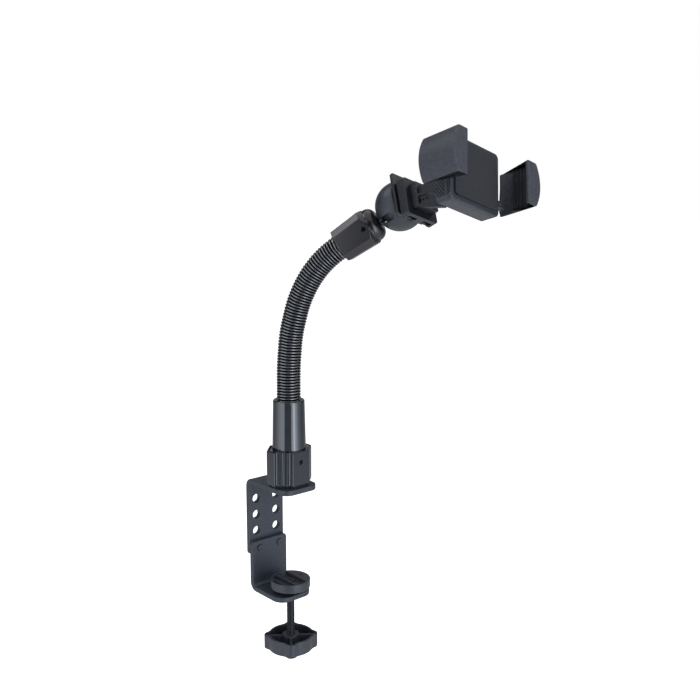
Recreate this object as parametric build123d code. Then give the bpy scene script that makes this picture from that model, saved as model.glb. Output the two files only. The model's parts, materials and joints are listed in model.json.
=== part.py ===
from build123d import *
import math
import os

# Phone gooseneck holder: a steel table clamp, a bending neck, a ball head and a cradle with two side jaws.
# Millimetres, +Z up. The origin is on the clamp screw's axis, at the underside of the upper jaw.
# +X is the way the jaws reach over the table, +Y runs along the bracket's width.

# Fits
running_gap = 0.3       # between pieces that move on each other
slip_gap = 0.2          # round a shaft in its bore
seat_gap = 0.05         # between pieces that are fastened together
over = 1.0              # how far a cut runs past the face it opens
edge_break = 0.6

# Clamp brackets
steel = 4.4
bracket_width = 36.5
bend_radius = 3.0
screw_reach = 33.3      # clamp screw axis to the inner face of the upper plate
upper_nose = 18.0       # clamp screw axis to the end of the upper jaw
upper_nose_radius = 9.0
lower_nose = 10.3
lower_nose_radius = 11.0
tail_radius = 3.0
hole_dia = 7.4
hole_rows = 4
hole_pitch = 14.5
hole_column_gap = 21.0
first_hole_drop = 14.9  # underside of the upper jaw to the first row of holes
tail_margin = 6.3       # last row of holes to the end of a plate
lower_jaw_depth = 95.8  # underside of the upper jaw to the underside of the lower one
bracket_screw_dia = 5.6
bracket_head_dia = 10.0
bracket_head_height = 3.0
bracket_tip = 0.6

# Clamp screw, knob and pad
rod_dia = 6.7
pad_dia = 34.0
pad_height = 7.6
pad_lift = 4.0          # lower jaw's floor to the pad, as it stands
pad_rim = 2.0
pad_recess = 2.9
pad_ribs = 2
pad_rib = 1.8
pad_rib_pitch = 7.2
pad_web = 2.6
pad_socket = 1.8
pin_dia = 4.4
retainer_dia = 7.0
retainer_height = 1.2
pad_round = 1.2
pad_groove_edge = 6.0
retainer_room = 0.5
dimple_dia = 3.6
dimple_depth = 0.8
rod_chamfer = 0.3
free_rod = 34.6         # underside of the lower jaw to the knob's top
knob_height = 12.5
knob_core_dia = 39.0
knob_lobe_reach = 23.0
knob_lobe_width = 10.0
knob_wall = 2.0
knob_floor = 3.0
knob_hub_dia = 14.5
knob_edge = 0.8
knob_hollow_round = 7.0
knob_web_drop = 1.0
knob_angle = 53.0

# Neck base
gasket_height = 2.3
gasket_inset = 2.4
base_half_x = 16.2
base_half_y = 19.8
base_corner = 11.2
base_height = 28.8
base_floor = 7.4
flute_radius = 1.7
flutes = 3
base_screw_dia = 6.0
base_screw_head = 11.0
set_screw_dia = 4.2
set_screw_drop = 9.3
set_screw_sink = 0.4

# Neck
ferrule_dia = 28.0
ferrule_top_dia = 26.2
ferrule_free = 41.2     # visible length above the base
ferrule_round = 1.0
collar_gap = 0.6        # round the neck, inside the ferrule's rim
collar_depth = 1.6
cable_bore = 6.0
neck_dia = 20.1
neck_core_dia = 17.4
links = 14
rings_per_link = 4
link_length = 9.73
link_gap = 1.5          # between the rims of neighbouring links
ring_crest = 0.9
ring_foot = 1.7
joint_ball_dia = 9.0
neck_azimuth = 36.0     # the bend's plane, from +X towards +Y
neck_turn = 56.0        # whole bend, from straight up
neck_bend_power = 2.0
side_pivot_step = 3     # every so many links the lower half bends sideways

# Upper ferrule and ball
sleeve_width = 26.5
sleeve_end_width = 29.2
sleeve_corner = 5.5
sleeve_start = 4.0      # last pivot to the sleeve's mouth
sleeve_length = 29.3
sleeve_shoulder = 3.6   # cone that trims the sleeve's end down to the dome
stub_rings = 2          # below the sleeve's mouth
dome_dia = 27.4
dome_length = 7.7
dome_radius = 7.0
stud_shank_dia = 8.0
stud_shank_length = 16.0
stud_neck_dia = 5.6
stud_flare_dia = 10.0
stud_flare_end = 1.2    # outside the ball
stud_set_back = 4.3     # set screw to the end of the sleeve
stud_screw_sink = 1.2
stud_groove_depth = 0.9
stud_groove_width = 5.0
ball_reach = 58.0       # last pivot to the ball's centre
ball_dia = 18.0

# Head: cup, tee plate and tee block
cup_dia = 39.0
cup_offset = 3.0        # ball's centre to the cup's centre
cup_depth = 11.5        # ball's centre to the cup's front
cup_mouth_angle = 49.0
cup_notch_width = 6.0
cup_notch_azimuth = 225.0
cup_notch_front = 3.0
cup_notch_depth = 4.0
plate_gap = 1.0
plate_side = 36.0
plate_thickness = 2.5
plate_corner = 2.0
spigot_length = 2.2
tab_gap = 16.0
tab_stem = 4.0
tab_head = 8.0
tab_head_height = 2.0
tab_length = 20.0
block_gap = 1.0
block_side = 32.0
block_thickness = 8.0
block_drop = 6.0
block_lip = 2.0
block_stop = 4.0
block_corner = 2.5
block_screw_dia = 3.0
block_screw_head = 5.6
block_screw_length = 9.0
wedge_tilt = 13.0       # tee plate against the cradle

# Cradle
cradle_azimuth = 3.2
cradle_tilt = 15.4
cradle_roll = 17.0
post_reach = 54.4       # cup's centre to the housing's back
cradle_rise = 2.9
housing_width = 54.0
housing_depth = 22.5
housing_wall = 2.2
housing_corner = 4.2
cavity_corner = 0.8
housing_slope = 7.0     # bevel round the housing's back
cover_thickness = 2.5
cover_round = 1.2
cover_counterbore = 1.3
face_pad_thickness = 1.5
face_pad_margin = 4.0
boss_dia = 6.8
boss_inset_w = 7.0
boss_inset_l = 6.5
cover_screw_dia = 2.5
cover_screw_head = 4.6
cover_screw_length = 11.0
grip_grooves = 4        # slanted, on the housing's sides
grip_pitch = 2.4
grip_width = 0.9
grip_depth = 0.8
grip_slant = 37.0
grip_top = 2.0
grip_bottom = -22.0
post_width = 16.0
post_bottom = -8.0
post_top = 4.0
foot_thickness = 6.5
foot_bottom = -16.0
foot_top = 4.0
cheek = 3.0             # plate on the post's left
cheek_front = -17.3
cheek_bottom = -21.5
cheek_step = -15.0
cheek_step_back = 25.5
cheek_heel = -10.5
cheek_bend = -8.1
cheek_bend_back = 9.5
cheek_rise = 0.27
cheek_pocket = 1.6      # depth of the pocket in the cheek
pocket_half_height = 3.2
pocket_length = 13.0
pocket_past_step = 2.0
eyes = 3
eye_dia = 2.2
eye_pitch = 3.5
standoff_screw_dia = 3.4
standoff_screw_gap = 11.0
standoff_screw_level = -5.0
standoff_screw_head = 5.4
standoff_screw_head_height = 2.0
standoff_screw_length = 16.0

# Jaws and their drive
jaw_opening = 80.0
jaw_pad_thickness = 2.0
jaw_height = 34.0
jaw_depth = 33.0
jaw_lip_height = 20.5   # cradle's face to the front of the lip
jaw_lip_thickness = 3.0
jaw_lip_overlap = 6.2
jaw_edge = 1.5
jaw_bulge = 5.0
jaw_corner = 2.5
jaw_round = 1.2
jaw_pad_length = 30.0
jaw_pad_rib = 0.8
jaw_pad_ribs = 5
arm_height = 5.6
arm_thickness = 5.4
arm_front = 7.0
arm_past_centre = 10.0
tooth_module = 1.2
pinion_teeth = 10
tooth_share = 0.385     # tooth width over the pitch
addendum = 0.9
dedendum = 1.15
pressure_angle = 20.0
tooth_sink = 0.5
pinion_bore = 5.2
pinion_shoulder = 1.5
guide_rib = 2.0
ledge_width = 6.0
ledge_step = 1.0

# Release button
button_width = 4.4
button_depth = 5.8
button_proud = 4.0
button_room = 7.5       # between a guide rail and the housing's wall
button_flange = 1.0
button_lip = 0.5
button_ribs = 4
button_rib_depth = 0.6
button_rib_groove = 0.6
button_round = 0.7
button_stem_dia = 2.6
button_travel = 2.2
spring_wire = 0.7
spring_dia = 4.4
spring_turns = 5
spring_pitch = 1.3

# Worked-out levels of the clamp
plate_back = -(screw_reach + steel)
last_row = -(first_hole_drop + (hole_rows - 1) * hole_pitch)
upper_tail = last_row - tail_margin
lower_top = last_row + tail_margin
lower_floor = -lower_jaw_depth + steel
pad_bottom = lower_floor + pad_lift
pad_face = pad_bottom + pad_height
knob_top = -lower_jaw_depth - free_rod
knob_bottom = knob_top - knob_height
base_bottom = steel + gasket_height
base_top = base_bottom + base_height
ferrule_bottom = base_bottom + base_floor
ferrule_top = base_top + ferrule_free
ring_pitch = (link_length - link_gap - ring_foot) / (rings_per_link - 1)
sleeve_end = sleeve_start + sleeve_length
dome_end = sleeve_end + dome_length

# Worked-out places of the jaws' drive
tooth_pitch = math.pi * tooth_module
pitch_radius = tooth_module * pinion_teeth / 2
tooth_tip = addendum * tooth_module
tooth_root = dedendum * tooth_module
rail_low = pitch_radius + tooth_root + arm_height + running_gap
rail_high = rail_low + guide_rib
housing_height = 2 * (rail_high + button_room + housing_wall)
jaw_wall = jaw_opening / 2 + jaw_pad_thickness
arm_back = arm_front + arm_thickness
jaw_back = jaw_lip_height - jaw_depth
cavity_back = -housing_depth + housing_wall
cover_back = -face_pad_thickness - cover_thickness
cover_screw_seat = -face_pad_thickness - cover_counterbore
housing_knee = -housing_depth + housing_slope
cavity_knee = housing_knee + housing_wall * (math.sqrt(2) - 1)
cavity_half_w = housing_width / 2 - housing_wall
cavity_half_l = housing_height / 2 - housing_wall
tooth_slope = math.tan(math.radians(pressure_angle))
button_tip = -housing_width / 2 - button_proud
button_level = -(max(rail_high + button_lip, jaw_height / 2) + running_gap + button_width / 2)
button_back = -cavity_knee - button_depth / 2 - button_lip - running_gap


def direction(azimuth, elevation):
    a = math.radians(azimuth)
    e = math.radians(elevation)
    return Vector(math.cos(e) * math.cos(a), math.cos(e) * math.sin(a), math.sin(e))


def neck_angle(distance):
    return neck_turn * (distance / (links * link_length)) ** neck_bend_power


def link_angles():
    """Lean of each link; the two links at a sideways pivot stay in line."""
    angles = [neck_angle((k + 0.5) * link_length) for k in range(links)]
    for pivot in range(1, links // 2 + 1, round(side_pivot_step)):
        shared = neck_angle(pivot * link_length)
        angles[pivot - 1] = shared
        angles[pivot] = shared
    return angles


def neck_plane(origin, lean):
    along = direction(neck_azimuth, 90 - lean)
    inward = direction(neck_azimuth, -lean)
    return Plane(origin=origin, x_dir=inward, z_dir=along)


def neck_frames():
    """A plane at each pivot, z along the link that starts there; the last one carries the upper ferrule."""
    frames = []
    point = Vector(0, 0, ferrule_top + link_gap / 2)
    for lean in link_angles():
        frame = neck_plane(point, lean)
        frames.append(frame)
        point = point + frame.z_dir * link_length
    frames.append(neck_plane(point, neck_turn))
    return frames


def cradle_axes():
    facing = direction(cradle_azimuth, cradle_tilt)
    level = direction(cradle_azimuth + 90, 0)
    upright = facing.cross(level)
    roll = math.radians(cradle_roll)
    across = level * math.cos(roll) - upright * math.sin(roll)
    return across, facing


frames = neck_frames()
ferrule_frame = frames[-1]
ball_centre = ferrule_frame.origin + ferrule_frame.z_dir * ball_reach
cradle_across, cradle_facing = cradle_axes()
cradle_up = cradle_facing.cross(cradle_across)
wedge = math.radians(wedge_tilt)
head_facing = cradle_facing * math.cos(wedge) + cradle_up * math.sin(wedge)
head_frame = Plane(origin=ball_centre, x_dir=cradle_across, z_dir=head_facing)
cup_centre = ball_centre + head_facing * cup_offset
cradle_origin = cup_centre + cradle_facing * (post_reach + housing_depth) + cradle_up * cradle_rise
cradle_frame = Plane(origin=cradle_origin, x_dir=cradle_across, z_dir=cradle_facing)


def place(part, frame):
    return frame.location * part


def rod(radius, low, high):
    return Pos(0, 0, (low + high) / 2) * Cylinder(radius, high - low)


def slab(w0, w1, l0, l1, n0, n1):
    return Pos((w0 + w1) / 2, (l0 + l1) / 2, (n0 + n1) / 2) * Box(w1 - w0, l1 - l0, n1 - n0)


def x_rod(radius, low, high, y, z):
    return Pos((low + high) / 2, y, z) * Rot(0, 90, 0) * Cylinder(radius, high - low)


def bent_bracket(points, bends, nose_radius):
    """Folded strip from its side outline; bends names the inner and outer corner with their radii."""
    outline = make_face(Plane.XZ * Polyline(*points, close=True))
    body = extrude(outline, bracket_width / 2, both=True)
    for x, z, radius in bends:
        edges = [e for e in body.edges().filter_by(Axis.Y)
                 if abs(e.center().X - x) < 1e-4 and abs(e.center().Z - z) < 1e-4]
        body = fillet(edges, radius)
    nose = body.edges().filter_by(Axis.Z).group_by(Axis.X)[-1]
    return fillet(nose, nose_radius)


def hole_points(rows):
    return [(side * hole_column_gap / 2, -(first_hole_drop + row * hole_pitch))
            for row in rows for side in (-1, 1)]


def upper_bracket():
    inner = -screw_reach
    points = [(plate_back, upper_tail), (inner, upper_tail), (inner, 0), (upper_nose, 0),
              (upper_nose, steel), (plate_back, steel)]
    body = bent_bracket(points, [(inner, 0, bend_radius), (plate_back, steel, bend_radius + steel)],
                        upper_nose_radius)
    body = fillet(body.edges().filter_by(Axis.X).group_by(Axis.Z)[0], tail_radius)
    for y, z in hole_points(range(hole_rows)):
        body -= x_rod(hole_dia / 2, plate_back - over, inner + over, y, z)
    return body - base_screw_cut()


def lower_bracket():
    back = -screw_reach + seat_gap
    inner = back + steel
    points = [(back, lower_top), (inner, lower_top), (inner, lower_floor), (lower_nose, lower_floor),
              (lower_nose, -lower_jaw_depth), (back, -lower_jaw_depth)]
    body = bent_bracket(points, [(inner, lower_floor, bend_radius),
                                 (back, -lower_jaw_depth, bend_radius + steel)], lower_nose_radius)
    body = fillet(body.edges().filter_by(Axis.X).group_by(Axis.Z)[-1], tail_radius)
    for y, z in hole_points([hole_rows - 1]):
        body -= x_rod(bracket_screw_dia / 2 + seat_gap, back - over, inner + over, y, z)
    return body - rod(rod_dia / 2 + slip_gap, -lower_jaw_depth - over, lower_floor + over)


def bracket_screws():
    tip = -screw_reach + seat_gap + steel + bracket_tip
    screws = []
    for y, z in hole_points([hole_rows - 1]):
        head = x_rod(bracket_head_dia / 2, plate_back - bracket_head_height, plate_back, y, z)
        head = fillet(head.edges().group_by(Axis.X)[0], bracket_head_height / 3)
        screws.append(head + x_rod(bracket_screw_dia / 2, plate_back, tip, y, z))
    return Compound(children=screws)


def base_screw_cut():
    head = base_screw_head / 2 + slip_gap
    cone = Pos(0, 0, head / 2) * Cone(head, seat_gap, head)
    return cone + rod(base_screw_dia / 2 + slip_gap, -over, steel + over)


def base_screw():
    head = base_screw_head / 2
    shank = base_screw_dia / 2
    cone = Pos(0, 0, (head - shank) / 2) * Cone(head, shank, head - shank)
    slot = slab(-shank, shank, -shank / 4, shank / 4, -over, shank / 2)
    return cone + rod(shank, 0, ferrule_bottom - over) - slot


def octagon(half_x, half_y, corner):
    points = [(half_x, half_y - corner), (half_x - corner, half_y), (corner - half_x, half_y),
              (-half_x, half_y - corner), (-half_x, corner - half_y), (corner - half_x, -half_y),
              (half_x - corner, -half_y), (half_x, corner - half_y)]
    return make_face(Polyline(*points, close=True))


def neck_base():
    body = Pos(0, 0, base_bottom) * extrude(octagon(base_half_x, base_half_y, base_corner), base_height)
    step = base_corner / flutes
    for sx in (-1, 1):
        for sy in (-1, 1):
            for k in range(flutes):
                along = (k + 0.5) * step
                x = sx * (base_half_x - along)
                y = sy * (base_half_y - base_corner + along)
                body -= Pos(x, y, 0) * rod(flute_radius, base_bottom - over, base_top + over)
    body = chamfer(body.faces().sort_by(Axis.Z)[-1].edges(), edge_break)
    body -= rod(ferrule_dia / 2 + seat_gap, ferrule_bottom, base_top + over)
    body -= rod(base_screw_dia / 2 + seat_gap, base_bottom - over, ferrule_bottom + over)
    level = base_top - set_screw_drop
    return body - x_rod(set_screw_dia / 2 + seat_gap, 0, base_half_x + over, 0, level)


def base_gasket():
    face = octagon(base_half_x - gasket_inset, base_half_y - gasket_inset, base_corner)
    body = Pos(0, 0, steel) * extrude(face, gasket_height)
    return body - rod(base_screw_dia / 2 + seat_gap, 0, base_bottom + over)


def grub(length):
    """Set screw along +X from the origin, with a driver socket in its far end."""
    body = x_rod(set_screw_dia / 2, 0, length, 0, 0)
    socket = extrude(RegularPolygon(set_screw_dia / 4, 6), length)
    return body - Rot(0, 90, 0) * Pos(0, 0, length / 2) * socket


def base_set_screw():
    start = ferrule_dia / 2 + seat_gap
    return Pos(start, 0, base_top - set_screw_drop) * grub(base_half_x - start - set_screw_sink)


def lower_ferrule():
    r0, r1, bore = ferrule_dia / 2, ferrule_top_dia / 2, cable_bore / 2
    points = [(bore, ferrule_bottom), (r0, ferrule_bottom), (r0, base_top), (r1, ferrule_top),
              (bore, ferrule_top)]
    body = revolve(make_face(Plane.XZ * Polyline(*points, close=True)), Axis.Z)
    body = fillet(body.edges().group_by(Axis.Z)[-1].sort_by(SortBy.RADIUS)[-1], ferrule_round)
    body -= rod(neck_dia / 2 + collar_gap, ferrule_top - collar_depth, ferrule_top + over)
    return body - Pos(0, 0, ferrule_top + link_gap / 2) * Sphere(joint_ball_dia / 2 + running_gap)


def ringed_core(count):
    """Rings on a core along +Z, from just above a pivot."""
    low = link_gap / 2
    core = neck_core_dia / 2
    crest = neck_dia / 2
    points = [(0, low)]
    for k in range(count):
        middle = low + ring_foot / 2 + k * ring_pitch
        points += [(core, middle - ring_foot / 2), (crest, middle - ring_crest / 2),
                   (crest, middle + ring_crest / 2), (core, middle + ring_foot / 2)]
    points.append((0, low + ring_foot + (count - 1) * ring_pitch))
    return revolve(make_face(Plane.XZ * Polyline(*points, close=True)), Axis.Z)


def neck_link():
    """One link along +Z from its lower pivot: rings on a core, a ball below and a cup above."""
    body = ringed_core(rings_per_link) + Sphere(joint_ball_dia / 2)
    return body - Pos(0, 0, link_length) * Sphere(joint_ball_dia / 2 + running_gap)


def sleeve_side(level):
    """On the sleeve's axis at a level, with +X out through the facet that takes the set screw."""
    return Pos(0, 0, level) * Rot(0, 0, -90)


def upper_ferrule():
    """Along +Z from the last pivot: the last rings, an eight-sided sleeve and a domed end."""
    near = octagon(sleeve_width / 2, sleeve_width / 2, sleeve_corner)
    far = octagon(sleeve_end_width / 2, sleeve_end_width / 2, sleeve_corner)
    sleeve = loft([Pos(0, 0, sleeve_start) * near, Pos(0, 0, sleeve_end) * far])
    wide = dome_dia / 2 + sleeve_shoulder
    trim = rod(sleeve_end_width, 0, sleeve_end - sleeve_shoulder)
    trim += Pos(0, 0, sleeve_end - sleeve_shoulder / 2) * Cone(wide, dome_dia / 2, sleeve_shoulder)
    dome = rod(dome_dia / 2, sleeve_end - over, dome_end)
    dome = fillet(dome.edges().group_by(Axis.Z)[-1], dome_radius)
    body = (sleeve & trim) + dome + ringed_core(stub_rings) + Sphere(joint_ball_dia / 2)
    bottom = dome_end - stud_shank_length - running_gap
    body -= rod(stud_shank_dia / 2 + slip_gap, bottom, dome_end + over)
    side = sleeve_side(sleeve_end - stud_set_back)
    return body - side * x_rod(set_screw_dia / 2 + seat_gap, 0, sleeve_end_width, 0, 0)


def upper_set_screw():
    start = stud_shank_dia / 2 - stud_groove_depth + running_gap
    length = sleeve_end_width / 2 - start - stud_screw_sink
    return sleeve_side(sleeve_end - stud_set_back) * Pos(start, 0, 0) * grub(length)


def ball_stud():
    shank = rod(stud_shank_dia / 2, dome_end - stud_shank_length, dome_end)
    level = sleeve_end - stud_set_back
    groove = rod(stud_shank_dia, level - stud_groove_width / 2, level + stud_groove_width / 2)
    groove -= rod(stud_shank_dia / 2 - stud_groove_depth, 0, dome_end)
    neck = rod(stud_neck_dia / 2, dome_end - over, ball_reach)
    low = dome_end + running_gap
    high = ball_reach - ball_dia / 2 - stud_flare_end
    neck += Pos(0, 0, (low + high) / 2) * Cone(stud_flare_dia / 2, stud_neck_dia / 2, high - low)
    return shank - groove + neck + Pos(0, 0, ball_reach) * Sphere(ball_dia / 2)


def socket_cup():
    """Head frame: origin at the ball's centre, +Z to the cradle."""
    cavity = ball_dia / 2 + running_gap
    reach = cup_dia
    body = Pos(0, 0, cup_offset) * Sphere(cup_dia / 2)
    body -= slab(-reach, reach, -reach, reach, cup_depth, 2 * reach)
    body -= Sphere(cavity) + rod(cavity, 0, cup_depth + over)
    mouth = reach * math.tan(math.radians(cup_mouth_angle))
    body -= Pos(0, 0, -reach / 2) * Cone(mouth, seat_gap, reach)
    notch = slab(0, reach, -cup_notch_width / 2, cup_notch_width / 2, -reach, cup_notch_front)
    notch += x_rod(cup_notch_width / 2, 0, reach, 0, cup_notch_front)
    notch -= Pos(0, 0, cup_offset) * Sphere(cup_dia / 2 - cup_notch_depth)
    return body - Rot(0, 0, cup_notch_azimuth) * notch


def tee_levels():
    back = cup_depth + plate_gap
    front = back + plate_thickness
    block_back = front + block_gap
    return back, front, block_back


def tee_plate():
    back, front, block_back = tee_levels()
    sheet = extrude(RectangleRounded(plate_side, plate_side, plate_corner), plate_thickness)
    body = Pos(0, 0, back) * sheet
    body += rod(ball_dia / 2 - slip_gap, back - spigot_length - plate_gap, back)
    head_low = block_back + block_lip + running_gap
    for side in (-1, 1):
        w = side * tab_gap / 2
        body += slab(w - tab_stem / 2, w + tab_stem / 2, -tab_length / 2, tab_length / 2, front, head_low)
        body += slab(w - tab_head / 2, w + tab_head / 2, -tab_length / 2, tab_length / 2,
                     head_low, head_low + tab_head_height)
    return body


def tee_slot_floor():
    back, front, block_back = tee_levels()
    return block_back + block_lip + tab_head_height + 2 * running_gap


def tee_block():
    back, front, block_back = tee_levels()
    sheet = extrude(RectangleRounded(block_side, block_side, block_corner), block_thickness)
    body = Pos(0, -block_drop, block_back) * sheet
    top = tab_length / 2 + running_gap
    bottom = -block_drop - block_side
    for side in (-1, 1):
        w = side * tab_gap / 2
        stem = tab_stem / 2 + running_gap
        head = tab_head / 2 + running_gap
        body -= slab(w - stem, w + stem, bottom, top, block_back - over, block_back + block_lip + over)
        body -= slab(w - head, w + head, bottom, top, block_back + block_lip, tee_slot_floor())
    for screw in block_screw_places():
        body -= screw * block_screw_cut()
    return body


def block_screw_places():
    return [Pos(side * tab_gap / 2, -block_drop - block_stop, tee_slot_floor()) for side in (-1, 1)]


def block_screw_cut():
    head = block_screw_head / 2 + seat_gap
    cone = Pos(0, 0, head / 2) * Cone(head, seat_gap, head)
    return cone + rod(block_screw_dia / 2 + seat_gap, -over, block_thickness)


def block_screws():
    head = block_screw_head / 2
    shank = block_screw_dia / 2
    cone = Pos(0, 0, (head - shank) / 2) * Cone(head, shank, head - shank)
    screw = cone + rod(shank, 0, block_screw_length)
    return Compound(children=[place_at * screw for place_at in block_screw_places()])


def standoff():
    """Cradle frame: a post from the housing's back towards the tee block, with a cheek plate on its left."""
    front = -housing_depth - seat_gap
    step = front - cheek_step_back
    far = front - 2 * cheek_step_back
    bend = front - cheek_bend_back
    right = post_width / 2
    left = -right - cheek
    points = [(front, cheek_front), (front, cheek_bottom), (step, cheek_step), (far, cheek_heel),
              (far, cheek_bend + cheek_rise * (bend - far)), (bend, cheek_bend)]
    side = Plane(origin=(left, 0, 0), x_dir=(0, 0, 1), z_dir=(-1, 0, 0))
    body = extrude(make_face(side * Polyline(*points, close=True)), cheek + over, dir=(1, 0, 0))
    pocket_l = (cheek_bend + cheek_rise * (bend - step) + cheek_step) / 2
    pocket_back = step - pocket_past_step
    pocket_top = pocket_l + pocket_half_height
    pocket_bottom = pocket_l - pocket_half_height
    body -= slab(left - over, left + cheek_pocket, pocket_bottom, pocket_top, pocket_back,
                 pocket_back + pocket_length)
    for k in range(eyes):
        level = pocket_back + (k + 1) * eye_pitch
        body -= Pos(left, pocket_l, level) * Rot(0, 90, 0) * Cylinder(eye_dia / 2, 4 * cheek)
    body += slab(-right, right, post_bottom, post_top, far, front)
    for w, l in standoff_screw_places():
        bottom = cavity_back - standoff_screw_length - seat_gap
        body -= Pos(w, l, 0) * rod(standoff_screw_dia / 2 + seat_gap, bottom, front + over)
    return body


def head_to_cradle(part):
    """Moves a piece from the head frame to the cradle frame."""
    return cradle_frame.location.inverse() * (head_frame.location * part)


def finished_standoff():
    back, front, block_back = tee_levels()
    face = block_back + block_thickness + seat_gap
    reach = 3 * plate_side
    behind = slab(-reach, reach, -reach, reach, face - 2 * reach, face)
    half = post_width / 2 + cheek
    foot = slab(-half, half, foot_bottom, foot_top, face, face + foot_thickness)
    body = standoff() + head_to_cradle(foot) - head_to_cradle(behind)
    for screw in block_screw_places():
        body -= head_to_cradle(screw * rod(block_screw_dia / 2 + seat_gap, 0, block_screw_length + seat_gap))
    return body


def standoff_screw_places():
    return [(side * standoff_screw_gap / 2, standoff_screw_level) for side in (-1, 1)]


def standoff_screws():
    inside = cavity_back
    screws = []
    for w, l in standoff_screw_places():
        head = rod(standoff_screw_head / 2, inside, inside + standoff_screw_head_height)
        shank = rod(standoff_screw_dia / 2, inside - standoff_screw_length, inside)
        screws.append(Pos(w, l, 0) * (head + shank))
    return Compound(children=screws)


def boss_places():
    w = housing_width / 2 - boss_inset_w
    l = housing_height / 2 - boss_inset_l
    return [(-w, l), (w, l), (-w, -l)]


def tapered_box(half_w, half_l, corner, back, knee, front):
    """Rounded box along +Z, bevelled all round from the knee to its back."""
    slope = knee - back
    wide = RectangleRounded(2 * half_w, 2 * half_l, corner)
    narrow = RectangleRounded(2 * (half_w - slope), 2 * (half_l - slope), corner)
    bevel = loft([Pos(0, 0, back) * narrow, Pos(0, 0, knee) * wide])
    return bevel + Pos(0, 0, knee) * extrude(wide, front - knee)


def grip_field():
    """Slanted grooves in the lower half of the left wall, towards the back."""
    left = -housing_width / 2
    field = slab(left - over, left + grip_depth, grip_bottom, grip_top, housing_knee, -arm_front)
    middle = (grip_top + grip_bottom) / 2
    reach = grip_top - grip_bottom
    cuts = []
    for k in range(-grip_grooves, grip_grooves + 1):
        bar = slab(-2 * over, 2 * over, -reach, reach, -grip_width / 2, grip_width / 2)
        at = Pos(left, middle, (housing_knee - arm_front) / 2 + k * grip_pitch)
        cuts += (at * Rot(-grip_slant, 0, 0) * bar & field).solids()
    return cuts


def cradle_back():
    outer = tapered_box(housing_width / 2, housing_height / 2, housing_corner, -housing_depth, housing_knee,
                        cover_back)
    hollow = tapered_box(cavity_half_w, cavity_half_l, cavity_corner, cavity_back,
                         cavity_knee, cover_back + over)
    inside = rod(pinion_bore / 2 + pinion_shoulder, cavity_back - over, -arm_back - running_gap)
    inside += rod(pinion_bore / 2 - slip_gap, cavity_back - over, -arm_front)
    ledge_back = -arm_back - running_gap
    for side in (-1, 1):
        l0, l1 = sorted((side * rail_low, side * rail_high))
        inside += slab(-housing_width / 2, housing_width / 2, l0, l1, cavity_back - over, -arm_front)
        a0, a1 = sorted((side * (rail_low - arm_height + ledge_step), side * rail_low))
        for w in (-housing_width / 2, cavity_half_w - ledge_width):
            inside += slab(w, w + ledge_width + housing_wall, a0, a1, cavity_back - over, ledge_back)
    for w, l in boss_places():
        inside += Pos(w, l, 0) * rod(boss_dia / 2, cavity_back - over, cover_back)
    half_l = button_width / 2 + running_gap
    half_n = button_depth / 2 + running_gap
    seat = -spring_seat()
    inside += slab(seat - guide_rib, seat, -housing_height / 2, button_level + half_l, cavity_back - over,
                   -button_back + spring_dia / 2)
    body = outer - hollow + (inside & outer)
    for side in (-1, 1):
        t0, t1 = sorted((side * (pitch_radius - tooth_tip - running_gap), side * rail_low))
        w0, w1 = sorted((-side * cavity_half_w, -side * housing_width))
        body -= slab(w0 - seat_gap, w1 + seat_gap, t0, t1, -arm_back - running_gap, -arm_front + running_gap)
    for w, l in boss_places():
        low = cover_screw_seat - cover_screw_length - over
        body -= Pos(w, l, 0) * rod(cover_screw_dia / 2 + seat_gap, low, cover_back + over)
    for w, l in standoff_screw_places():
        hole = rod(standoff_screw_dia / 2 + seat_gap, -housing_depth - over, cavity_back + over)
        body -= Pos(w, l, 0) * hole
    body -= slab(cavity_half_w - over, housing_width, button_level - half_l, button_level + half_l,
                 -button_back - half_n, -button_back + half_n)
    for cut in grip_field():
        body -= cut
        body -= opposite(cut)
    return body


def spring_start():
    return -cavity_half_w + running_gap + button_flange


def spring_seat():
    return spring_start() + spring_turns * spring_pitch + 2 * spring_wire + button_travel + running_gap


def cradle_cover():
    body = extrude(RectangleRounded(housing_width, housing_height, housing_corner), cover_thickness)
    body = fillet(body.faces().sort_by(Axis.Z)[-1].edges(), cover_round)
    body = Pos(0, 0, cover_back) * body
    for w, l in boss_places():
        body -= Pos(w, l, 0) * rod(cover_screw_dia / 2 + slip_gap, cover_back - over, 0)
        body -= Pos(w, l, 0) * rod(cover_screw_head / 2 + slip_gap, cover_screw_seat, 0)
    return body


def cradle_pad():
    width = housing_width - 2 * face_pad_margin
    height = housing_height - 2 * face_pad_margin
    body = extrude(RectangleRounded(width, height, housing_corner), face_pad_thickness)
    return Pos(0, 0, -face_pad_thickness) * fillet(body.faces().sort_by(Axis.Z)[-1].edges(), edge_break)


def cover_screws():
    top = cover_screw_seat
    head = rod(cover_screw_head / 2, top, top + cover_counterbore - running_gap)
    screw = head + rod(cover_screw_dia / 2, top - cover_screw_length, top)
    return Compound(children=[Pos(w, l, 0) * screw for w, l in boss_places()])


def rack_arm():
    """Arm of the left jaw, reaching to +X past the pinion, teeth facing -Y."""
    root = pitch_radius + tooth_root
    body = slab(-jaw_wall - jaw_edge, arm_past_centre, root, root + arm_height, -arm_back, -arm_front)
    half = tooth_share * tooth_pitch / 2
    wide = half + tooth_slope * tooth_root
    narrow = half - tooth_slope * tooth_tip
    tip = pitch_radius - tooth_tip
    first = math.ceil(-housing_width / 2 / tooth_pitch)
    for k in range(first, int(arm_past_centre / tooth_pitch)):
        middle = (k + 0.5) * tooth_pitch
        points = [(middle - wide, root), (middle - narrow, tip), (middle + narrow, tip),
                  (middle + wide, root)]
        tooth = extrude(make_face(Polyline(*points, close=True)), arm_thickness)
        body += Pos(0, 0, -arm_back) * tooth
    return body


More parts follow.
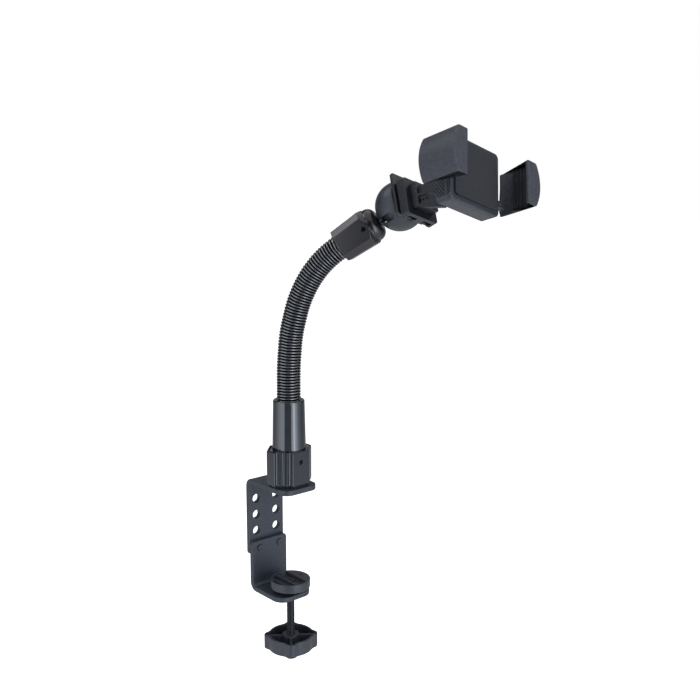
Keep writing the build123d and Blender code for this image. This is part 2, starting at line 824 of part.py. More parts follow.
def left_jaw():
    """Hook over the phone's edge: D-shaped outline, a side wall, a front lip and the rack arm."""
    half = jaw_height / 2
    edge = -jaw_wall - jaw_edge
    lip = -jaw_opening / 2 + jaw_lip_overlap
    outline = [Line((lip, -half), (lip, half)), Line((lip, half), (edge, half)),
               ThreePointArc((edge, half), (edge - jaw_bulge, 0), (edge, -half)),
               Line((edge, -half), (lip, -half))]
    face = make_face(outline)
    face = fillet([v for v in face.vertices() if abs(v.X - edge) < seat_gap], jaw_corner)
    body = Pos(0, 0, jaw_back) * extrude(face, jaw_depth)
    body -= slab(-jaw_wall, 0, -jaw_height, jaw_height, jaw_back - over, jaw_lip_height - jaw_lip_thickness)
    front = body.faces().sort_by(Axis.Z)[-1].edges()
    body = fillet(front, jaw_round)
    return body + rack_arm()


def left_jaw_pad():
    """Rubber strip inside the jaw, with upright ribs."""
    top = jaw_lip_height - jaw_lip_thickness - running_gap
    low = running_gap
    half = jaw_pad_length / 2
    face = -jaw_wall + jaw_pad_thickness
    body = slab(-jaw_wall, face - jaw_pad_rib, -half, half, low, top)
    step = (top - low) / jaw_pad_ribs
    for k in range(jaw_pad_ribs):
        middle = low + (k + 0.5) * step
        body += slab(-jaw_wall, face, -half, half, middle - step / 4, middle + step / 4)
    return body


def opposite(part):
    """The right jaw's pieces are the left one's, turned half round the cradle's axis."""
    return Rot(0, 0, 180) * part


def jaw_pinion():
    tip = pitch_radius + tooth_tip
    root = pitch_radius - tooth_root
    half = tooth_share * tooth_pitch / 2
    wide = half + tooth_slope * tooth_root
    narrow = half - tooth_slope * tooth_tip
    body = rod(root, 0, arm_thickness)
    for k in range(pinion_teeth):
        points = [(root - tooth_sink, wide), (tip, narrow), (tip, -narrow), (root - tooth_sink, -wide)]
        tooth = extrude(make_face(Polyline(*points, close=True)), arm_thickness)
        body += Rot(0, 0, 90 + k * 360 / pinion_teeth) * tooth
    return Pos(0, 0, -arm_back) * (body - rod(pinion_bore / 2, -over, arm_thickness + over))


def release_button():
    half_l = button_width / 2
    half_n = button_depth / 2
    inside = -cavity_half_w + running_gap
    body = slab(button_tip, inside, -half_l, half_l, -half_n, half_n)
    body = fillet(body.edges().group_by(Axis.X)[0], button_round)
    step = button_depth / button_ribs
    for k in range(button_ribs - 1):
        n = -half_n + (k + 1) * step
        groove = button_rib_groove / 2
        body -= slab(button_tip - over, button_tip + button_rib_depth, -half_l - over, half_l + over,
                     n - groove, n + groove)
    body += slab(inside, inside + button_flange, -half_l - button_lip, half_l + button_lip,
                 -half_n - button_lip, half_n + button_lip)
    stem = spring_start() + spring_turns * spring_pitch
    body += Pos((inside + stem) / 2, 0, 0) * Rot(0, 90, 0) * Cylinder(button_stem_dia / 2, stem - inside)
    return Pos(0, button_level, -button_back) * mirror(body, Plane.YZ)


def button_spring():
    height = spring_turns * spring_pitch
    path = Helix(spring_pitch, height, spring_dia / 2 - spring_wire / 2)
    section = Plane(path @ 0, z_dir=path % 0) * Circle(spring_wire / 2)
    coil = sweep(section, path=path)
    start = spring_start() + spring_wire / 2 + seat_gap
    return Pos(-start, button_level, -button_back) * Rot(0, -90, 0) * coil


def clamp_screw():
    bottom = knob_bottom + knob_floor
    seat = pad_bottom + pad_socket - slip_gap
    top = pad_bottom + pad_socket + pad_web + slip_gap + retainer_height
    body = rod(rod_dia / 2, bottom, seat) + rod(pin_dia / 2, seat, top)
    return chamfer(body.edges().group_by(Axis.Z)[-1], rod_chamfer)


def pad_retainer():
    low = pad_bottom + pad_socket + pad_web + slip_gap
    washer = rod(retainer_dia / 2, low, low + retainer_height)
    return washer - rod(pin_dia / 2 + seat_gap, low - over, pad_face)


def clamp_pad():
    """Swivel pad: a rim, one raised half with a dimple, one sunk half with ribs and a groove between them."""
    body = rod(pad_dia / 2, pad_bottom, pad_face)
    body = fillet(body.edges().group_by(Axis.Z)[0], pad_round)
    inner = pad_dia / 2 - pad_rim
    floor = pad_face - pad_recess
    sunk = rod(inner, floor, pad_face + over)
    sunk -= slab(-pad_dia, pad_dia, pad_groove_edge, pad_dia, floor - over, pad_face + 2 * over)
    for k in range(pad_ribs):
        y = -retainer_dia / 2 - retainer_room - pad_rib - k * pad_rib_pitch
        sunk -= slab(-pad_dia, pad_dia, y, y + pad_rib, floor - over, pad_face + 2 * over)
    body -= sunk
    web_top = pad_bottom + pad_socket + pad_web
    body -= rod(retainer_dia / 2 + retainer_room, web_top, pad_face + over)
    body -= rod(pin_dia / 2 + slip_gap, pad_bottom, pad_face)
    body -= rod(rod_dia / 2 + slip_gap, pad_bottom - over, pad_bottom + pad_socket)
    dimple = (pad_groove_edge + inner) / 2
    return body - Pos(0, dimple, 0) * rod(dimple_dia / 2, pad_face - dimple_depth, pad_face + over)


def knob_outline(inset):
    """Four round lobes on a disc, each pair of neighbours joined through two hollows."""
    core = knob_core_dia / 2 - inset
    lobe = knob_lobe_width / 2 - inset
    hollow = knob_hollow_round + inset
    lobe_at = Vector(knob_lobe_reach - knob_lobe_width / 2, 0)
    spread = core + hollow
    turn = math.acos((spread ** 2 + lobe_at.X ** 2 - (lobe + hollow) ** 2) / (2 * spread * lobe_at.X))
    hollow_at = direction(math.degrees(turn), 0) * spread
    to_lobe = (lobe_at - hollow_at).normalized()
    to_core = (hollow_at * -1).normalized()
    on_lobe = hollow_at + to_lobe * hollow
    on_core = hollow_at + to_core * hollow
    dip = hollow_at + (to_lobe + to_core).normalized() * hollow
    tip = Vector(knob_lobe_reach - inset, 0)
    arcs = []
    for k in range(4):
        after = ThreePointArc(on_lobe, dip, on_core)
        before = after.mirror(Plane.XZ)
        end = ThreePointArc(Vector(on_lobe.X, -on_lobe.Y), tip, on_lobe)
        rim = ThreePointArc(on_core, direction(45, 0) * core, Vector(on_core.Y, on_core.X))
        arcs += [Rot(0, 0, 90 * k) * arc for arc in (before, end, after, rim)]
    return make_face(arcs)


def clamp_knob():
    """Four-lobed hand knob, hollow and open above, with a hub and four webs."""
    body = extrude(knob_outline(0), knob_height)
    body = chamfer(body.faces().sort_by(Axis.Z)[0].edges(), knob_edge)
    hollow = Pos(0, 0, knob_floor) * extrude(knob_outline(knob_wall), knob_height)
    hollow -= rod(knob_hub_dia / 2, 0, knob_height + knob_floor)
    for k in range(2):
        web = slab(-knob_lobe_reach, knob_lobe_reach, -knob_wall / 2, knob_wall / 2,
                   0, knob_height - knob_web_drop)
        hollow -= Rot(0, 0, 90 * k) * web
    body -= hollow
    body -= rod(rod_dia / 2 + seat_gap, knob_floor, knob_height + over)
    return Pos(0, 0, knob_bottom) * Rot(0, 0, knob_angle) * body


nodes = {
    "upper_bracket": upper_bracket(),
    "lower_bracket": lower_bracket(),
    "bracket_screws": bracket_screws(),
    "base_gasket": base_gasket(),
    "base_screw": base_screw(),
    "neck_base": neck_base(),
    "base_set_screw": base_set_screw(),
    "lower_ferrule": lower_ferrule(),
    "clamp_screw": clamp_screw(),
    "clamp_knob": clamp_knob(),
    "clamp_pad": clamp_pad(),
    "pad_retainer": pad_retainer(),
}
link = neck_link()
for k, frame in enumerate(frames[:-1]):
    nodes[f"neck_link_{k + 1:02d}"] = place(link, frame)
for name, part in (("upper_ferrule", upper_ferrule()), ("upper_set_screw", upper_set_screw()),
                   ("ball_stud", ball_stud())):
    nodes[name] = place(part, ferrule_frame)
for name, part in (("socket_cup", socket_cup()), ("tee_plate", tee_plate()), ("tee_block", tee_block()),
                   ("block_screws", block_screws())):
    nodes[name] = place(part, head_frame)
for name, part in (("standoff", finished_standoff()), ("standoff_screws", standoff_screws()),
                   ("cradle_back", cradle_back()), ("cradle_cover", cradle_cover()),
                   ("cradle_pad", cradle_pad()), ("cover_screws", cover_screws()),
                   ("left_jaw", left_jaw()), ("left_jaw_pad", left_jaw_pad()),
                   ("right_jaw", opposite(left_jaw())), ("right_jaw_pad", opposite(left_jaw_pad())),
                   ("jaw_pinion", jaw_pinion()), ("release_button", release_button()),
                   ("button_spring", button_spring())):
    nodes[name] = place(part, cradle_frame)

os.makedirs("parts", exist_ok=True)
for name, part in nodes.items():
    export_step(part, f"parts/{name}.step")
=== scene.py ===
import bpy
import json
import math
from mathutils import Matrix, Vector

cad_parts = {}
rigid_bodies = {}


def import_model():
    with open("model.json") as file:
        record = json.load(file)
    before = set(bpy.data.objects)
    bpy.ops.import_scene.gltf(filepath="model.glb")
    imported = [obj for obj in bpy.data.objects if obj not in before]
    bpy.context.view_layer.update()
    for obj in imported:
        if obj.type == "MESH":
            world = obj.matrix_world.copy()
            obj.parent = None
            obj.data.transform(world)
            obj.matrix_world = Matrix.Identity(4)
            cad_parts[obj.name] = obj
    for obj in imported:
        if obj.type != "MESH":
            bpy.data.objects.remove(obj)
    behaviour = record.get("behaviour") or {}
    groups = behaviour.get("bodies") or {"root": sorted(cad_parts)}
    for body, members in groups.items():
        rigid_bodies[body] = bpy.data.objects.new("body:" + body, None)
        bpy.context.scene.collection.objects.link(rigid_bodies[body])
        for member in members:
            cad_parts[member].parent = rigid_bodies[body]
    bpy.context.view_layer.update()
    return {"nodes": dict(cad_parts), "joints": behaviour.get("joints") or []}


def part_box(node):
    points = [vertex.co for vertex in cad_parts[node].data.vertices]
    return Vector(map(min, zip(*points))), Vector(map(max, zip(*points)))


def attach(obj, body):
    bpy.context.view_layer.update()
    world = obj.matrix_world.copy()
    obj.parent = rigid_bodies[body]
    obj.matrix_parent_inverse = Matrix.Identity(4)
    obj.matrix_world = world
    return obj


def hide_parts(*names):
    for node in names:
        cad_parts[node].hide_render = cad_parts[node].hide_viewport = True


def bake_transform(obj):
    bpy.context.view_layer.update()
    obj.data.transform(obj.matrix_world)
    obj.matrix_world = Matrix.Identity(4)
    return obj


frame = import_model()
nodes = frame["nodes"]
joints = {j["name"]: j for j in frame["joints"]}
print("frame loaded:", len(nodes), "nodes")

# camera at the photograph's angle; focal length and frame in pixels
cameraSettings = {
    "place": (0.5914, -0.4560, 0.2430),
    "right": (0.6627, 0.7489, 0.0021),
    "up": (-0.1251, 0.1079, 0.9863),
    "back": (0.7384, -0.6538, 0.1652),
    "focal": 920,
    "frame": 700,
    "sensor": 36,
    "clip": (0.01, 100),
}


def makeCamera(s):
    data = bpy.data.cameras.new("viewCamera")
    data.sensor_width = s["sensor"]
    data.lens = s["focal"] / s["frame"] * s["sensor"]
    data.clip_start, data.clip_end = s["clip"]
    cam = bpy.data.objects.new("viewCamera", data)
    bpy.context.scene.collection.objects.link(cam)
    axes = Matrix((s["right"], s["up"], s["back"])).transposed()
    cam.matrix_world = Matrix.Translation(s["place"]) @ axes.to_quaternion().to_matrix().to_4x4()
    bpy.context.scene.camera = cam


makeCamera(cameraSettings)
print("camera placed")

# studio: white backdrop, upright panels fanned out on each side of the camera and fading outwards,
# one panel overhead and two small ones high at the sides
studioSettings = {
    "target": (0.05, 0.03, 0.35),
    "reach": 1.3,
    "height": 1.9,
    "fans": [
        {"name": "fanRight", "start": 18, "step": 14, "glows": (2.6, 5.0, 2.5, 1.2, 0.5, 0.3)},
        {"name": "fanLeft", "start": -31, "step": -15, "glows": (1.9, 1.8, 1.4, 0.8, 0.35)},
    ],
    "overhead": {"name": "panelTop", "level": 1.6, "size": (2.4, 2.4), "glow": 1.2},
    "kickers": [
        {"name": "kickLeft", "turn": -101, "rise": 40, "reach": 1.3, "size": (0.7, 0.5), "glow": 2.8},
        {"name": "kickRight", "turn": 125, "rise": 36, "reach": 1.3, "size": (0.5, 0.4), "glow": 3.0},
    ],
    "worldTint": (0.95, 0.97, 1.0),
    "worldLight": 0.30,
    "sheetEdge": (-0.92, -0.62),   # how squarely a direction points at the sheet, from full to none
    "sheetGloss": 0.5,
    "cameraSideGloss": 0.03,
    "floorLevel": -0.6,
    "floorHalf": 30,
    "floorTone": 0.9,
    "floorGlow": 0.9,
}


def makeLamp(box, place, aim):
    data = bpy.data.lights.new(box["name"], "AREA")
    data.shape = "RECTANGLE"
    data.size, data.size_y = box["size"]
    data.energy = box["glow"] * math.pi * data.size * data.size_y
    lamp = bpy.data.objects.new(box["name"], data)
    bpy.context.scene.collection.objects.link(lamp)
    lamp.location = place
    lamp.rotation_euler = (aim - place).to_track_quat("-Z", "Y").to_euler()


def makePanels(s):
    target = Vector(s["target"])
    toCamera = Vector(cameraSettings["back"])
    toCamera.z = 0
    toCamera.normalize()
    for fan in s["fans"]:
        width = 2 * s["reach"] * math.tan(math.radians(abs(fan["step"]) / 2))
        for k, glow in enumerate(fan["glows"]):
            turn = fan["start"] + (k + 0.5) * fan["step"]
            away = Matrix.Rotation(math.radians(turn), 3, "Z") @ toCamera
            panel = {"name": f"{fan['name']}{k}", "size": (width, s["height"]), "glow": glow}
            makeLamp(panel, target + away * s["reach"], target)
    makeLamp(s["overhead"], Vector((target.x, target.y, s["overhead"]["level"])), target)
    for kick in s["kickers"]:
        rise = math.radians(kick["rise"])
        away = Matrix.Rotation(math.radians(kick["turn"]), 3, "Z") @ toCamera * math.cos(rise)
        away.z = math.sin(rise)
        makeLamp(kick, target + away * kick["reach"], target)


def makeWorld(s):
    world = bpy.data.worlds.new("studioWorld")
    bpy.context.scene.world = world
    world.use_nodes = True
    tree = world.node_tree
    tree.nodes.clear()
    out = tree.nodes.new("ShaderNodeOutputWorld")
    rays = tree.nodes.new("ShaderNodeLightPath")
    plain = tree.nodes.new("ShaderNodeBackground")
    plain.inputs["Color"].default_value = (*s["worldTint"], 1)
    plain.inputs["Strength"].default_value = s["worldLight"]
    white = tree.nodes.new("ShaderNodeBackground")
    white.inputs["Color"].default_value = (1, 1, 1, 1)
    room = tree.nodes.new("ShaderNodeBackground")
    coords = tree.nodes.new("ShaderNodeTexCoord")
    toward = tree.nodes.new("ShaderNodeVectorMath")
    toward.operation = "DOT_PRODUCT"
    toward.inputs[1].default_value = cameraSettings["back"]
    tree.links.new(coords.outputs["Generated"], toward.inputs[0])
    shade = tree.nodes.new("ShaderNodeMapRange")   # dark room on the camera's side, white sheet behind
    shade.interpolation_type = "SMOOTHSTEP"
    shade.inputs["From Min"].default_value, shade.inputs["From Max"].default_value = s["sheetEdge"]
    shade.inputs["To Min"].default_value = s["sheetGloss"]
    shade.inputs["To Max"].default_value = s["cameraSideGloss"]
    tree.links.new(toward.outputs["Value"], shade.inputs["Value"])
    tree.links.new(shade.outputs["Result"], room.inputs["Strength"])
    sharp = tree.nodes.new("ShaderNodeMath")
    sharp.operation = "MAXIMUM"
    tree.links.new(rays.outputs["Is Glossy Ray"], sharp.inputs[0])
    tree.links.new(rays.outputs["Is Transmission Ray"], sharp.inputs[1])
    mixGloss = tree.nodes.new("ShaderNodeMixShader")
    tree.links.new(sharp.outputs["Value"], mixGloss.inputs["Fac"])
    tree.links.new(plain.outputs["Background"], mixGloss.inputs[1])
    tree.links.new(room.outputs["Background"], mixGloss.inputs[2])
    mixCamera = tree.nodes.new("ShaderNodeMixShader")
    tree.links.new(rays.outputs["Is Camera Ray"], mixCamera.inputs["Fac"])
    tree.links.new(mixGloss.outputs["Shader"], mixCamera.inputs[1])
    tree.links.new(white.outputs["Background"], mixCamera.inputs[2])
    tree.links.new(mixCamera.outputs["Shader"], out.inputs["Surface"])


def makeFloor(s):
    mesh = bpy.data.meshes.new("studioFloor")
    half = s["floorHalf"]
    corners = [(-half, -half, 0), (half, -half, 0), (half, half, 0), (-half, half, 0)]
    mesh.from_pydata(corners, [], [(0, 1, 2, 3)])
    floor = bpy.data.objects.new("studioFloor", mesh)
    bpy.context.scene.collection.objects.link(floor)
    floor.location.z = s["floorLevel"]
    paint = bpy.data.materials.new("paleFloor")
    paint.use_nodes = True
    tree = paint.node_tree
    tree.nodes.clear()
    out = tree.nodes.new("ShaderNodeOutputMaterial")
    matt = tree.nodes.new("ShaderNodeBsdfDiffuse")
    matt.inputs["Color"].default_value = (s["floorTone"], s["floorTone"], s["floorTone"], 1)
    glow = tree.nodes.new("ShaderNodeEmission")
    rays = tree.nodes.new("ShaderNodeLightPath")
    level = tree.nodes.new("ShaderNodeMath")
    level.operation = "MULTIPLY"
    level.inputs[1].default_value = s["floorGlow"]
    both = tree.nodes.new("ShaderNodeAddShader")
    tree.links.new(rays.outputs["Is Camera Ray"], level.inputs[0])
    tree.links.new(level.outputs["Value"], glow.inputs["Strength"])
    tree.links.new(matt.outputs["BSDF"], both.inputs[0])
    tree.links.new(glow.outputs["Emission"], both.inputs[1])
    tree.links.new(both.outputs["Shader"], out.inputs["Surface"])
    mesh.materials.append(paint)


makeWorld(studioSettings)
makePanels(studioSettings)
makeFloor(studioSettings)
bpy.context.scene.view_settings.view_transform = "Standard"
print("studio lit")

# noise behind every finish: the span that the tones and roughness run across, and the detail of each texture
noiseSettings = {"span": (0.3, 0.7), "mottleDetail": 6, "grainDetail": 3}

# finishes: dark and light are the two tones that the mottling runs between
finishSettings = {
    "powderCoat": {
        "dark": (0.010, 0.012, 0.020), "light": (0.030, 0.035, 0.050), "mottle": 900,
        "rough": (0.38, 0.60), "grain": 1300, "bump": 0.4, "depth": 0.00018,
        "specular": 0.45, "tint": (0.78, 0.87, 1.0)},
    "mouldedBlack": {
        "dark": (0.012, 0.014, 0.020), "light": (0.021, 0.023, 0.031), "mottle": 700,
        "rough": (0.34, 0.50), "grain": 1700, "bump": 0.2, "depth": 0.00012,
        "specular": 0.5, "tint": (0.80, 0.88, 1.0)},
    "headBlack": {
        "dark": (0.005, 0.006, 0.009), "light": (0.011, 0.012, 0.016), "mottle": 500,
        "rough": (0.26, 0.40), "grain": 1700, "bump": 0.15, "depth": 0.00010,
        "specular": 0.45, "tint": (0.86, 0.90, 1.0)},
    "jawBlack": {
        "dark": (0.028, 0.031, 0.041), "light": (0.042, 0.045, 0.057), "mottle": 500,
        "rough": (0.36, 0.50), "grain": 1700, "bump": 0.2, "depth": 0.00012,
        "specular": 0.25, "tint": (0.82, 0.89, 1.0)},
    "satinBlack": {
        "dark": (0.004, 0.005, 0.008), "light": (0.009, 0.010, 0.015), "mottle": 700,
        "rough": (0.08, 0.14), "grain": 1500, "bump": 0.08, "depth": 0.00006,
        "specular": 0.65, "tint": (0.80, 0.88, 1.0)},
    "sleeveBlack": {
        "dark": (0.004, 0.004, 0.005), "light": (0.009, 0.009, 0.011), "mottle": 700,
        "rough": (0.15, 0.26), "grain": 1500, "bump": 0.12, "depth": 0.00008,
        "specular": 0.5, "tint": (0.92, 0.93, 1.0)},
    "polishedBlack": {
        "dark": (0.004, 0.005, 0.008), "light": (0.008, 0.009, 0.013), "mottle": 90,
        "rough": (0.08, 0.13), "grain": 1800, "bump": 0.03, "depth": 0.00004,
        "specular": 1.0, "tint": (0.82, 0.89, 1.0)},
    "neckCoat": {
        "dark": (0.004, 0.005, 0.007), "light": (0.008, 0.009, 0.012), "mottle": 300,
        "rough": (0.12, 0.19), "grain": 2400, "bump": 0.05, "depth": 0.00005,
        "specular": 1.0, "tint": (0.86, 0.91, 1.0), "ior": 1.7},
    "softRubber": {
        "dark": (0.009, 0.010, 0.013), "light": (0.015, 0.016, 0.020), "mottle": 700,
        "rough": (0.68, 0.85), "grain": 1800, "bump": 0.3, "depth": 0.00015,
        "specular": 0.35, "tint": (0.85, 0.90, 1.0)},
    "blackenedSteel": {
        "dark": (0.030, 0.033, 0.042), "light": (0.065, 0.070, 0.082), "mottle": 600,
        "rough": (0.30, 0.46), "grain": 3000, "bump": 0.08, "depth": 0.00005,
        "specular": 0.5, "tint": (0.9, 0.94, 1.0), "metal": 0.85},
    # painted shade: near-black, dull finish that stands for the shade in the neck's groove bottoms and over
    # the set screws down in their holes
    "paintedShade": {
        "dark": (0.001, 0.001, 0.0015), "light": (0.003, 0.003, 0.004), "mottle": 900,
        "rough": (0.45, 0.6), "grain": 3000, "bump": 0.1, "depth": 0.00005,
        "specular": 0.2, "tint": (0.8, 0.88, 1.0)},
    "oiledSteel": {
        "dark": (0.004, 0.005, 0.007), "light": (0.009, 0.010, 0.014), "mottle": 600,
        "rough": (0.30, 0.45), "grain": 3000, "bump": 0.08, "depth": 0.00005,
        "specular": 0.3, "tint": (0.8, 0.88, 1.0)},
}


def makeFinish(name, s, noise):
    finish = bpy.data.materials.new(name)
    finish.use_nodes = True
    tree = finish.node_tree
    shader = tree.nodes["Principled BSDF"]
    shader.inputs["Specular IOR Level"].default_value = s["specular"]
    shader.inputs["Specular Tint"].default_value = (*s["tint"], 1)
    shader.inputs["Metallic"].default_value = s.get("metal", 0.0)
    shader.inputs["IOR"].default_value = s.get("ior", 1.5)
    coords = tree.nodes.new("ShaderNodeTexCoord")
    mottle = tree.nodes.new("ShaderNodeTexNoise")
    mottle.inputs["Scale"].default_value = s["mottle"]
    mottle.inputs["Detail"].default_value = noise["mottleDetail"]
    grain = tree.nodes.new("ShaderNodeTexNoise")
    grain.inputs["Scale"].default_value = s["grain"]
    grain.inputs["Detail"].default_value = noise["grainDetail"]
    for texture in (mottle, grain):
        tree.links.new(coords.outputs["Object"], texture.inputs["Vector"])
    tone = tree.nodes.new("ShaderNodeValToRGB")
    for stop, place, key in zip(tone.color_ramp.elements, noise["span"], ("dark", "light")):
        stop.position = place
        stop.color = (*s[key], 1)
    tree.links.new(mottle.outputs["Fac"], tone.inputs["Fac"])
    tree.links.new(tone.outputs["Color"], shader.inputs["Base Color"])
    rough = tree.nodes.new("ShaderNodeMapRange")
    rough.inputs["From Min"].default_value, rough.inputs["From Max"].default_value = noise["span"]
    rough.inputs["To Min"].default_value, rough.inputs["To Max"].default_value = s["rough"]
    tree.links.new(grain.outputs["Fac"], rough.inputs["Value"])
    tree.links.new(rough.outputs["Result"], shader.inputs["Roughness"])
    bump = tree.nodes.new("ShaderNodeBump")
    bump.inputs["Strength"].default_value = s["bump"]
    bump.inputs["Distance"].default_value = s["depth"]
    tree.links.new(grain.outputs["Fac"], bump.inputs["Height"])
    tree.links.new(bump.outputs["Normal"], shader.inputs["Normal"])
    return finish


finishes = {name: makeFinish(name, s, noiseSettings) for name, s in finishSettings.items()}

# which node wears which finish; a node not listed is mouldedBlack
nodeFinish = {
    "powderCoat": ("upper_bracket", "lower_bracket"),
    "satinBlack": ("neck_base",),
    "polishedBlack": ("lower_ferrule",),
    "sleeveBlack": ("upper_ferrule",),
    "headBlack": ("tee_plate", "tee_block", "standoff"),
    "jawBlack": ("left_jaw", "right_jaw"),
    "softRubber": ("base_gasket", "cradle_pad", "left_jaw_pad", "right_jaw_pad"),
    # painted shade: the set screws down in their holes wear the near-black finish that stands for the shade
    # there
    "paintedShade": ("base_set_screw", "upper_set_screw"),
    "blackenedSteel": ("bracket_screws", "base_screw", "clamp_screw", "pad_retainer", "block_screws",
                       "standoff_screws", "cover_screws", "button_spring", "ball_stud"),
}


def dressNode(name, node):
    worn = [finish for finish, names in nodeFinish.items() if name in names]
    node.data.materials.clear()
    node.data.materials.append(finishes[worn[0] if worn else "mouldedBlack"])


for nodeName, node in nodes.items():
    dressNode(nodeName, node)
print("finishes on", len(nodes), "nodes")

# worn, slightly rounded edges on the moulded and bent pieces
edgeSettings = {
    "weld": 0.00001, "flat": 0.5, "angle": 32, "segments": 2,
    "widths": {
        "upper_bracket": 0.0005, "lower_bracket": 0.0005, "neck_base": 0.0004, "lower_ferrule": 0.0003,
        "clamp_knob": 0.0005, "clamp_pad": 0.0005, "upper_ferrule": 0.0005, "socket_cup": 0.0004,
        "tee_plate": 0.0004, "tee_block": 0.0004, "standoff": 0.0004, "cradle_back": 0.0004,
        "cradle_cover": 0.0004, "cradle_pad": 0.0003, "left_jaw": 0.0008, "right_jaw": 0.0008,
        "left_jaw_pad": 0.0003, "right_jaw_pad": 0.0003,
    },
}


def roundEdges(s, node, width):
    weld = node.modifiers.new("joinSeams", "WELD")
    weld.merge_threshold = s["weld"]
    flats = node.modifiers.new("joinFlats", "DECIMATE")
    flats.decimate_type = "DISSOLVE"
    flats.angle_limit = math.radians(s["flat"])
    bevel = node.modifiers.new("roundEdges", "BEVEL")
    bevel.limit_method = "ANGLE"
    bevel.angle_limit = math.radians(s["angle"])
    bevel.width = width
    bevel.segments = s["segments"]
    bevel.use_clamp_overlap = False
    even = node.modifiers.new("evenShade", "WEIGHTED_NORMAL")
    even.keep_sharp = False


for nodeName, width in edgeSettings["widths"].items():
    roundEdges(edgeSettings, nodes[nodeName], width)
print("edges rounded")


def meshPiece(name, points, faces, finish):
    mesh = bpy.data.meshes.new(name)
    mesh.from_pydata(points, [], faces)
    mesh.validate()
    for face in mesh.polygons:
        face.use_smooth = True
    mesh.materials.append(finishes[finish])
    piece = bpy.data.objects.new(name, mesh)
    bpy.context.scene.collection.objects.link(piece)
    return piece


# neck: rings wound close together, in lengths that bend from one link to the next
neckSettings = {
    "ringsPerLength": 4, "ringsAtFoot": 3, "ringsAtTip": 2, "samples": 12, "around": 64,
    "crest": 0.01005, "core": 0.0072, "ringShare": 0.72, "squareness": 3,
    "recess": 0.0016, "tip": 0.0004,
    # painted shade: faces lower than grooveShare of the ring height wear the groove finish, near-black
    "finish": "neckCoat", "groove": "paintedShade", "grooveShare": 0.5,
}
# the sleeve's own last rings, just over its moulded ones
stubSettings = {
    **neckSettings, "rings": 2, "start": 0.00051, "pitch": 0.002177,
    "crest": 0.01012, "core": 0.00875, "ringShare": 0.94,
}
neckJoints = sorted((n for n in joints if n.startswith(("neck_bend", "neck_side"))), key=lambda n: n[-2:])
neckPivots = [Vector(joints[n]["pos_m"]) for n in neckJoints]
neckBodies = [joints[neckJoints[0]]["parent"]] + [joints[n]["child"] for n in neckJoints]
tipAlong = (Vector(joints["ball_twist"]["pos_m"]) - neckPivots[-1]).normalized()


def neckStations(s):
    foot = Vector((0, 0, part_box("lower_ferrule")[1].z - s["recess"]))
    stations = [(foot, Vector((0, 0, 1)))]
    for a, b in zip(neckPivots, neckPivots[1:]):
        stations.append(((a + b) / 2, (b - a).normalized()))
    stations.append((neckPivots[-1] + tipAlong * s["tip"], tipAlong))
    return stations


# smooth line from one station to the next, leaving and arriving along their directions
def curvePoint(start, end, t):
    (p0, d0), (p1, d1) = start, end
    span = (p1 - p0).length
    h00 = 2 * t**3 - 3 * t**2 + 1
    h10 = t**3 - 2 * t**2 + t
    h01 = 3 * t**2 - 2 * t**3
    h11 = t**3 - t**2
    place = p0 * h00 + d0 * (h10 * span) + p1 * h01 + d1 * (h11 * span)
    along = p0 * (6 * t * t - 6 * t) + d0 * ((3 * t * t - 4 * t + 1) * span)
    along += p1 * (6 * t - 6 * t * t) + d1 * ((3 * t * t - 2 * t) * span)
    return place, along.normalized()


def ringRadius(s, phase):
    away = abs(phase - 0.5) / (s["ringShare"] / 2)
    power = s["squareness"]
    swell = (1 - away**power) ** (1 / power) if away < 1 else 0.0
    return s["core"] + (s["crest"] - s["core"]) * swell


def tubeFaces(rows, around, first=0):
    faces = []
    for k in range(rows - 1):
        for j in range(around):
            a = first + k * around + j
            b = first + k * around + (j + 1) % around
            faces.append((a, b, b + around, a + around))
    return faces


def neckLength(s, name, start, end, rings):
    points = []
    steps = rings * s["samples"]
    across = Vector(joints[neckJoints[0]]["axis"]).normalized()
    for k in range(steps + 1):
        place, along = curvePoint(start, end, k / steps)
        outward = across.cross(along).normalized()
        radius = ringRadius(s, (k / s["samples"]) % 1.0)
        for j in range(s["around"]):
            turn = 2 * math.pi * j / s["around"]
            points.append(place + (across * math.sin(turn) + outward * math.cos(turn)) * radius)
    length = meshPiece(name, points, tubeFaces(steps + 1, s["around"]), s["finish"])
    length.data.materials.append(finishes[s["groove"]])   # painted shade: the groove bottoms wear the near-black, dull finish that stands for the shade down in the grooves
    rim = s["core"] + (s["crest"] - s["core"]) * s["grooveShare"]
    # painted shade: faces in the groove bottoms get the near-black finish
    for k in range(steps):
        deep = ringRadius(s, ((k + 0.5) / s["samples"]) % 1.0) < rim
        for face in length.data.polygons[k * s["around"]:(k + 1) * s["around"]]:
            face.material_index = int(deep)
    return length


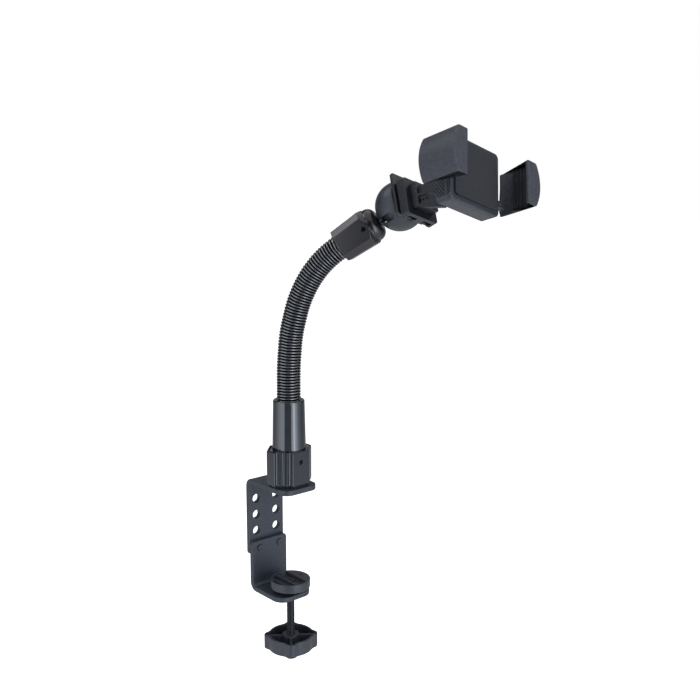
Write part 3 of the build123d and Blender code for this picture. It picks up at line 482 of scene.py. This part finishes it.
def windNeck(s):
    stations = neckStations(s)
    lengthRings = [s["ringsPerLength"]] * (len(stations) - 1)
    lengthRings[0] = s["ringsAtFoot"]
    lengthRings[-1] = s["ringsAtTip"]
    for k, rings in enumerate(lengthRings):
        length = neckLength(s, f"neck_rings_{k:02d}", stations[k], stations[k + 1], rings)
        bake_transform(length)
        if k < len(stations) - 2:
            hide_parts(neckBodies[k + 1])


def stubRings(s):
    start = neckPivots[-1] + tipAlong * s["start"]
    end = start + tipAlong * (s["pitch"] * s["rings"])
    stub = neckLength(s, "sleeve_rings", (start, tipAlong), (end, tipAlong), s["rings"])
    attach(stub, "upper_ferrule")


windNeck(neckSettings)
stubRings(stubSettings)
print("neck wound")

# clamp screw: rolled thread from the knob up to the pad, then the plain pin
rodSettings = {
    "pitch": 0.00125, "outer": 0.00335, "root": 0.00300, "pin": 0.0022, "around": 40,
    "stepsPerTurn": 10, "crestShare": 0.2, "seat": 0.0016, "finish": "oiledSteel",
}


def threadRadius(s, phase):
    away = abs(phase - 0.5) * 2
    slope = (1 - away) / (1 - s["crestShare"])
    return s["root"] + (s["outer"] - s["root"]) * min(1.0, slope)


def threadedRod(s):
    low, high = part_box("clamp_screw")
    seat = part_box("clamp_pad")[0].z + s["seat"]
    step = s["pitch"] / s["stepsPerTurn"]
    levels = [low.z + k * step for k in range(int((seat - low.z) / step) + 1)]
    rows = [(z, None) for z in levels] + [(seat, s["pin"]), (high.z, s["pin"])]
    points = [(0, 0, low.z)]
    for z, plain in rows:
        for j in range(s["around"]):
            turn = 2 * math.pi * j / s["around"]
            radius = plain or threadRadius(s, (z / s["pitch"] - j / s["around"]) % 1.0)
            points.append((radius * math.cos(turn), radius * math.sin(turn), z))
    points.append((0, 0, high.z))
    faces = tubeFaces(len(rows), s["around"], first=1)
    top = 1 + (len(rows) - 1) * s["around"]
    for j in range(s["around"]):
        nextOne = (j + 1) % s["around"]
        faces.append((0, 1 + nextOne, 1 + j))
        faces.append((len(points) - 1, top + j, top + nextOne))
    rod = meshPiece("clamp_screw_thread", points, faces, s["finish"])
    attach(rod, "clamp_screw")
    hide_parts("clamp_screw")


threadedRod(rodSettings)
print("thread cut")

print("pieces dressed")
